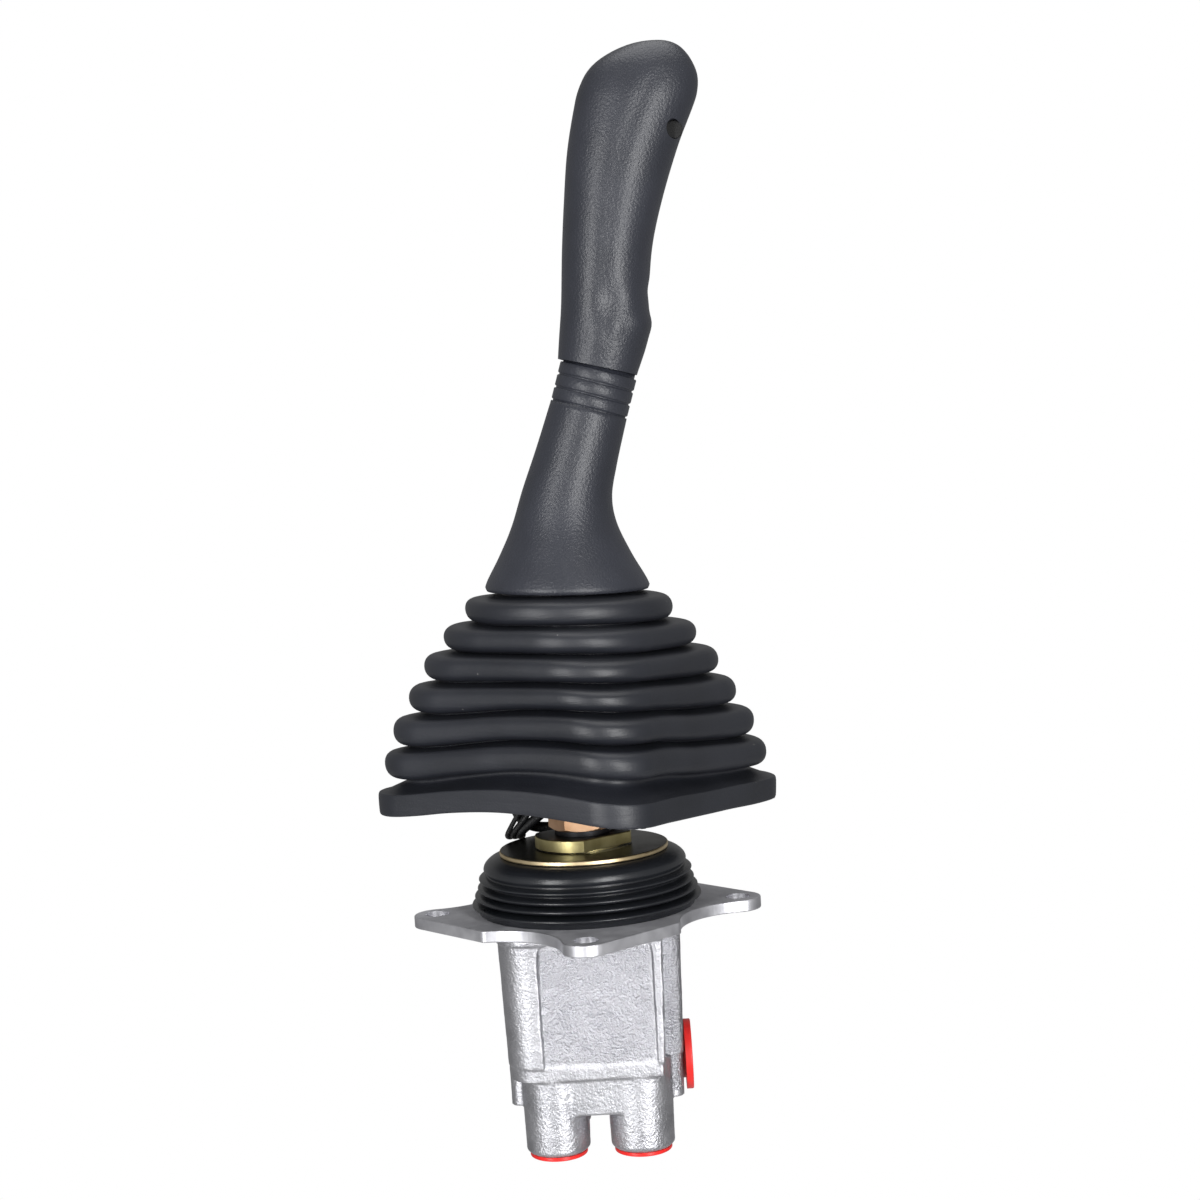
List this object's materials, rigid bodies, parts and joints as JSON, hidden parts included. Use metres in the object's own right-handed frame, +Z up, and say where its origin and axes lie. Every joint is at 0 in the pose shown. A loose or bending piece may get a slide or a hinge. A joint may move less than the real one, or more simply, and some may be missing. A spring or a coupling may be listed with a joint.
{
  "type": "hydraulic pilot joystick valve",
  "caption": "Hydraulic pilot control valve with a leaning hand grip, a square console bellows, a four-eared mounting flange and capped ports.",
  "frame": {"origin": "centre of the mounting flange's underside, on the lever's axis", "axes": "+Z up along the lever's axis, ears of the flange on +X, -X, +Y and -Y; the grip leans towards +X; the pressure port faces +X"},
  "size_m": [0.1414, 0.1414, 0.3872],
  "materials": {
    "cast_aluminium": "rough, as cast and blasted",
    "machined_aluminium": "satin, milled",
    "zinc_yellow": "satin, yellow zinc plate",
    "plain_steel": "ground",
    "spring_steel": "oiled",
    "brass": "satin",
    "black_rubber": "satin",
    "seal_rubber": "satin",
    "red_plastic": "satin",
    "grip_plastic": "fine grain",
    "black_plastic": "satin",
    "cable_sleeve": "matt"
  },
  "bodies": {
    "valve": {"valve_body": "cast_aluminium", "mounting_plate": "machined_aluminium", "gallery_plugs": "plain_steel", "bush_1": "brass", "bush_2": "brass", "bush_3": "brass", "bush_4": "brass", "bush_seals": "seal_rubber", "wiper_seals": "seal_rubber", "joint_base": "plain_steel", "rod_boot": "black_rubber", "return_spring_1": "spring_steel", "return_spring_2": "spring_steel", "return_spring_3": "spring_steel", "return_spring_4": "spring_steel"},
    "cross": {"joint_cross": "plain_steel"},
    "lever": {"lever_yoke": "plain_steel", "swash_disc": "plain_steel", "boot_plate": "zinc_yellow", "adjusting_nut": "zinc_yellow", "spacer_ring": "plain_steel", "lock_nut": "zinc_yellow", "lever_tube": "plain_steel", "bellows": "black_rubber", "lever_cover": "black_rubber", "grip_collar": "grip_plastic", "grip": "grip_plastic", "grip_insert": "black_plastic", "horn_switch": "black_plastic", "lead": "cable_sleeve", "lead_connector": "black_plastic"},
    "button": {"horn_button": "black_plastic"},
    "pusher_1": {"push_rod_1": "plain_steel", "spring_seat_1": "plain_steel", "spool_1": "plain_steel", "metering_spring_1": "spring_steel"},
    "pusher_2": {"push_rod_2": "plain_steel", "spring_seat_2": "plain_steel", "spool_2": "plain_steel", "metering_spring_2": "spring_steel"},
    "pusher_3": {"push_rod_3": "plain_steel", "spring_seat_3": "plain_steel", "spool_3": "plain_steel", "metering_spring_3": "spring_steel"},
    "pusher_4": {"push_rod_4": "plain_steel", "spring_seat_4": "plain_steel", "spool_4": "plain_steel", "metering_spring_4": "spring_steel"},
    "port_cap_1_body": {"port_cap_1": "red_plastic"},
    "port_cap_2_body": {"port_cap_2": "red_plastic"},
    "port_cap_3_body": {"port_cap_3": "red_plastic"},
    "port_cap_4_body": {"port_cap_4": "red_plastic"},
    "pressure_cap_body": {"pressure_cap": "red_plastic"},
    "tank_cap_body": {"tank_cap": "red_plastic"}
  },
  "joints": [
    {"name": "tilt_a", "type": "hinge", "parent": "valve", "child": "cross", "pos_m": [0, 0, 0.014], "axis": [0.7071, -0.7071, 0], "range_deg": [-19, 19], "stiffness_Nm_per_rad": 3, "deforming": ["rod_boot"]},
    {"name": "tilt_b", "type": "hinge", "parent": "cross", "child": "lever", "pos_m": [0, 0, 0.014], "axis": [0.7071, 0.7071, 0], "range_deg": [-19, 19], "stiffness_Nm_per_rad": 3},
    {"name": "push_1", "type": "slide", "parent": "valve", "child": "pusher_1", "axis": [0, 0, 1], "range_m": [-0.0076, 0.0076], "deforming": ["return_spring_1"]},
    {"name": "push_2", "type": "slide", "parent": "valve", "child": "pusher_2", "axis": [0, 0, 1], "range_m": [-0.0076, 0.0076], "deforming": ["return_spring_2"]},
    {"name": "push_3", "type": "slide", "parent": "valve", "child": "pusher_3", "axis": [0, 0, 1], "range_m": [-0.0076, 0.0076], "deforming": ["return_spring_3"]},
    {"name": "push_4", "type": "slide", "parent": "valve", "child": "pusher_4", "axis": [0, 0, 1], "range_m": [-0.0076, 0.0076], "deforming": ["return_spring_4"]},
    {"name": "horn_press", "type": "slide", "parent": "lever", "child": "button", "axis": [0, 1, 0], "range_m": [0, 0.0015], "stiffness_N_per_m": 900, "springref_m": -0.0005},
    {"name": "port_cap_1_pull", "type": "slide", "parent": "valve", "child": "port_cap_1_body", "axis": [0, 0, -1], "range_m": [0, 0.06]},
    {"name": "port_cap_2_pull", "type": "slide", "parent": "valve", "child": "port_cap_2_body", "axis": [0, 0, -1], "range_m": [0, 0.06]},
    {"name": "port_cap_3_pull", "type": "slide", "parent": "valve", "child": "port_cap_3_body", "axis": [0, 0, -1], "range_m": [0, 0.06]},
    {"name": "port_cap_4_pull", "type": "slide", "parent": "valve", "child": "port_cap_4_body", "axis": [0, 0, -1], "range_m": [0, 0.06]},
    {"name": "pressure_cap_pull", "type": "slide", "parent": "valve", "child": "pressure_cap_body", "axis": [1, 0, 0], "range_m": [0, 0.06]},
    {"name": "tank_cap_pull", "type": "slide", "parent": "valve", "child": "tank_cap_body", "axis": [0, 1, 0], "range_m": [0, 0.06]}
  ],
  "couplings": [
    {"joint": "push_1", "follows": "tilt_a", "m_per_rad": 0.02268},
    {"joint": "push_2", "follows": "tilt_b", "m_per_rad": 0.02268},
    {"joint": "push_3", "follows": "tilt_a", "m_per_rad": -0.02268},
    {"joint": "push_4", "follows": "tilt_b", "m_per_rad": -0.02268}
  ]
}
